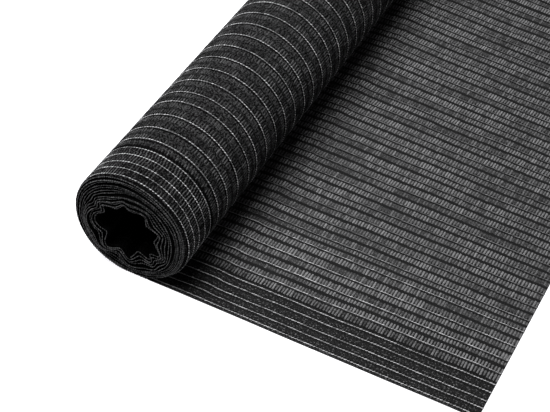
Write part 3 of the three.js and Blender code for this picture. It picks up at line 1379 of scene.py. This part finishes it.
@dataclass(frozen=True)
class Studio:
    """The pale floor, the soft lights and the camera."""

    axis_x: float
    near_y: float
    camera_from_foot: Place = (0.4536, -0.6792, 0.8886)
    yaw: float = -25.865
    pitch: float = 44.85
    roll: float = 2.639
    lens_mm: float = 97.67
    sensor_mm: float = 36.0
    floor_size: float = 12.0
    covered_to: float = 0.3
    cover_fade: float = 0.012
    cover_end: float = 0.01
    cover_inset: float = 0.002
    floor_grey: float = 0.3
    floor_glow: float = 0.95
    white: Colour = Colour.grey(0.98)
    sky_strength: float = 0.11
    key_watts: float = 55.0
    key_size: float = 0.95
    key_from_middle: Place = (-0.33, -0.38, 1.3)

    def build(self) -> None:
        """Builds the stage, the lights and the camera."""
        self._floor()
        self._sky()
        self._key()
        self._camera()

    def _floor(self) -> None:
        """Lays a plain pale floor, which glows but where the loose end covers it."""
        half = self.floor_size / 2
        points = np.array([(-half, -half, 0), (half, -half, 0), (half, half, 0), (-half, half, 0)])
        floor = mesh_object("floor", points, np.array([[0, 1, 2, 3]]))
        tree = ShaderTree("pale floor")
        x, y, _ = tree.parts(tree.object_place())
        from_foot, from_side = x - self.axis_x, abs(self.near_y) - abs(y)
        covered = from_foot.ramp(0.0, self.cover_fade)
        covered = covered * from_foot.ramp(self.covered_to, self.covered_to - self.cover_end)
        covered = covered * from_side.ramp(self.cover_inset, self.cover_fade)
        inputs = {
            "Base Color": Colour.grey(self.floor_grey),
            "Roughness": 0.9,
            "Specular IOR Level": 0.1,
            "Emission Color": tree.mix(covered, self.white, Colour.grey(0.0)),
            "Emission Strength": self.floor_glow,
        }
        floor.data.materials.append(tree.surfaced(inputs))

    def _sky(self) -> None:
        """Fills the room with even light."""
        world = bpy.data.worlds.new("soft room")
        world.use_nodes = True
        background = world.node_tree.nodes["Background"]
        background.inputs["Color"].default_value = self.white.rgba()
        background.inputs["Strength"].default_value = self.sky_strength
        bpy.context.scene.world = world

    def _key(self) -> None:
        """Hangs one large soft light above the roll."""
        light = bpy.data.lights.new("key", "AREA")
        light.shape = "SQUARE"
        light.size = self.key_size
        light.energy = self.key_watts
        lamp = link(bpy.data.objects.new("key", light))
        lamp.location = self.key_from_middle
        lamp.rotation_mode = "QUATERNION"
        lamp.rotation_quaternion = (-Vector(self.key_from_middle)).to_track_quat("-Z", "Y")

    def _camera(self) -> None:
        """Sets up the camera at the photograph's viewing angle."""
        yaw, pitch, roll = (math.radians(a) for a in (self.yaw, self.pitch, self.roll))
        ahead = Vector(
            (math.sin(yaw) * math.cos(pitch), math.cos(yaw) * math.cos(pitch), -math.sin(pitch))
        )
        level = Vector((math.cos(yaw), -math.sin(yaw), 0))
        rising = level.cross(ahead)
        right = level * math.cos(roll) + rising * math.sin(roll)
        up = rising * math.cos(roll) - level * math.sin(roll)
        data = bpy.data.cameras.new("camera")
        data.sensor_width = self.sensor_mm
        data.lens = self.lens_mm
        camera = link(bpy.data.objects.new("camera", data))
        turn = Matrix((right, up, -ahead)).transposed()
        camera.rotation_mode = "QUATERNION"
        camera.rotation_quaternion = turn.to_quaternion()
        foot = Vector((self.axis_x, self.near_y, 0))
        camera.location = foot + Vector(self.camera_from_foot)
        scene = bpy.context.scene
        scene.camera = camera
        scene.view_settings.view_transform = "Standard"


CHAIN_BREADTH_MM = 0.40
RIM_BREADTH_MM = 0.42
WOUND_FINISH = NetFinish(
    name="wound netting",
    backing=Backing.MORE_NET,
    tape=Colour.grey(0.002),
    tape_light=Colour.grey(0.030),
    # Painted shade: the dark of the roll's inside, seen through its openings and on its inner
    # turns
    behind=Colour.grey(0.001),
    dense=Colour.grey(0.003),
    chain=Colour.grey(0.067),
    rim=Colour.grey(0.070),
    speck=Colour.grey(0.034),
    gloss=0.0,
    stripe=0.35,
    mottle_mm=1.6,
    slot_shade=0.7,
    near_bay_dark=0.35,
)
LOOSE_FINISH = NetFinish(
    name="loose netting",
    backing=Backing.OPEN_FLOOR,
    tape=Colour.grey(0.014),
    tape_light=Colour.grey(0.038),
    behind=Colour.grey(0.003),
    dense=Colour.grey(0.004),
    chain=Colour.grey(0.053),
    rim=Colour.grey(0.040),
    speck=Colour.grey(0.067),
    gloss=0.05,
    stripe=0.9,
    stripe_mm=2.1,
    open_share=0.08,
    slot_open=0.5,
)
CHAIN_FINISH = StitchFinish("chain yarn", Colour.grey(0.08), Colour.grey(0.48), gloss=0.02)
LOOSE_CHAIN_FINISH = StitchFinish(
    "chain yarn of the loose end",
    Colour.grey(0.12),
    Colour.grey(0.43),
    gloss=0.06,
    field_share=0.36,
    half_width=0.5,
)
TAPE_FINISH = StitchFinish("folded tape", Colour.grey(0.002), Colour.grey(0.058), gloss=0.0)
LOOSE_TAPE_FINISH = StitchFinish(
    "folded tape of the loose end", Colour.grey(0.016), Colour.grey(0.138), gloss=0.12
)
RIM_FINISH = StitchFinish("edge loops", Colour.grey(0.008), Colour.grey(0.082))
CHAINS = StitchRows(
    shape=StitchShape.GRAIN,
    pitch_mm=2.65,
    size_m=(0.00128, 1.0, 0.00034),
    slant_degrees=17.0,
    roll_degrees=6.0,
    patch_share=0.35,
)
LOOSE_CHAINS = StitchRows(
    shape=StitchShape.GRAIN,
    pitch_mm=2.65,
    size_m=(0.00165, 1.0, 0.00034),
    slant_degrees=11.0,
    roll_degrees=4.0,
    spread=(0.9, 1.15),
    patch_share=0.35,
    seed=11,
)
RIMS = StitchRows(
    shape=StitchShape.GRAIN,
    pitch_mm=2.0,
    size_m=(0.00095, 1.0, 0.00042),
    slant_degrees=14.0,
    roll_degrees=10.0,
    spread=(0.7, 1.2),
    patch_share=0.25,
    seed=41,
)
TAPES = StitchRows(
    shape=StitchShape.TAPE,
    pitch_mm=2.65,
    size_m=(0.00075, 1.0, 0.00032),
    roll_degrees=11.0,
    spread=(0.6, 1.2),
    seed=23,
)
LOOSE_TAPES = StitchRows(
    shape=StitchShape.TAPE,
    pitch_mm=2.65,
    size_m=(0.00092, 1.0, 0.00022),
    roll_degrees=7.0,
    patch_per_m=(14.0, 75.0, 30.0),
    seed=29,
)


def report(piece: bpy.types.Object) -> None:
    """Logs a piece's name and triangles."""
    piece.data.calc_loop_triangles()
    LOG.info("%s: %d triangles", piece.name, len(piece.data.loop_triangles))


def foot_x(form: WoundForm, roll_low_x: float) -> float:
    """Finds the roll's axis from its box.

    Args:
        form: The roll's cross-section.
        roll_low_x: The low X of the roll's box.

    Returns:
        The X of the axis, which is also that of the foot line.
    """
    angles = np.arange(0, FULL_TURN, 1.0)
    reach = np.min(round_table(form.outside, angles) * np.cos(np.radians(angles)))
    return roll_low_x - float(reach) * MM


def main() -> None:
    """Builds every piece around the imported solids, in order."""
    logging.basicConfig(level=logging.INFO, format="%(name)s: %(message)s")
    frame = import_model()
    LOG.info("%d nodes loaded", len(frame["nodes"]))
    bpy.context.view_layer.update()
    plan, form = KnitPlan(), WoundForm()
    roll_low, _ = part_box("roll")
    _, loose_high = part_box("loose_end")
    axis_x, near_y = foot_x(form, roll_low.x), roll_low.y
    Studio(axis_x, near_y).build()

    wound = WoundNet(plan, form, axis_x, near_y)
    wound_piece = wound.build(WOUND_FINISH.build(plan))
    end_mm = (loose_high.x - axis_x) / MM
    loose = LooseNet(plan, axis_x, near_y, start_mm=form.lip_mm, end_mm=end_mm)
    loose_piece = loose.build(LOOSE_FINISH.build(plan))
    chain_rows = [(place, CHAIN_BREADTH_MM) for place in plan.lines_mm()]
    rim_rows = [(place, RIM_BREADTH_MM) for place in (0.0, plan.width_mm)]
    open_bays = [bay for bay in plan.bays_mm() if plan.is_open(bay[0])]
    rims = RIMS.build("wound_edge_loops", rim_rows, wound.rim, RIM_FINISH.build())
    wound_stitches = [
        CHAINS.build("wound_chain_stitches", chain_rows, wound.outside_line, CHAIN_FINISH.build()),
        TAPES.build(
            "wound_tapes", plan.staggered_bays_mm(), wound.outside_line, TAPE_FINISH.build()
        ),
        rims,
    ]
    loose_stitches = [
        LOOSE_CHAINS.build(
            "loose_chain_stitches", chain_rows, loose.line, LOOSE_CHAIN_FINISH.build()
        ),
        LOOSE_TAPES.build("loose_tapes", open_bays, loose.line, LOOSE_TAPE_FINISH.build()),
    ]

    for piece in (wound_piece, loose_piece, *wound_stitches, *loose_stitches):
        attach(piece, "root")
        report(piece)
    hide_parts("roll")
    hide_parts("loose_end")


if __name__ == "__main__":
    main()
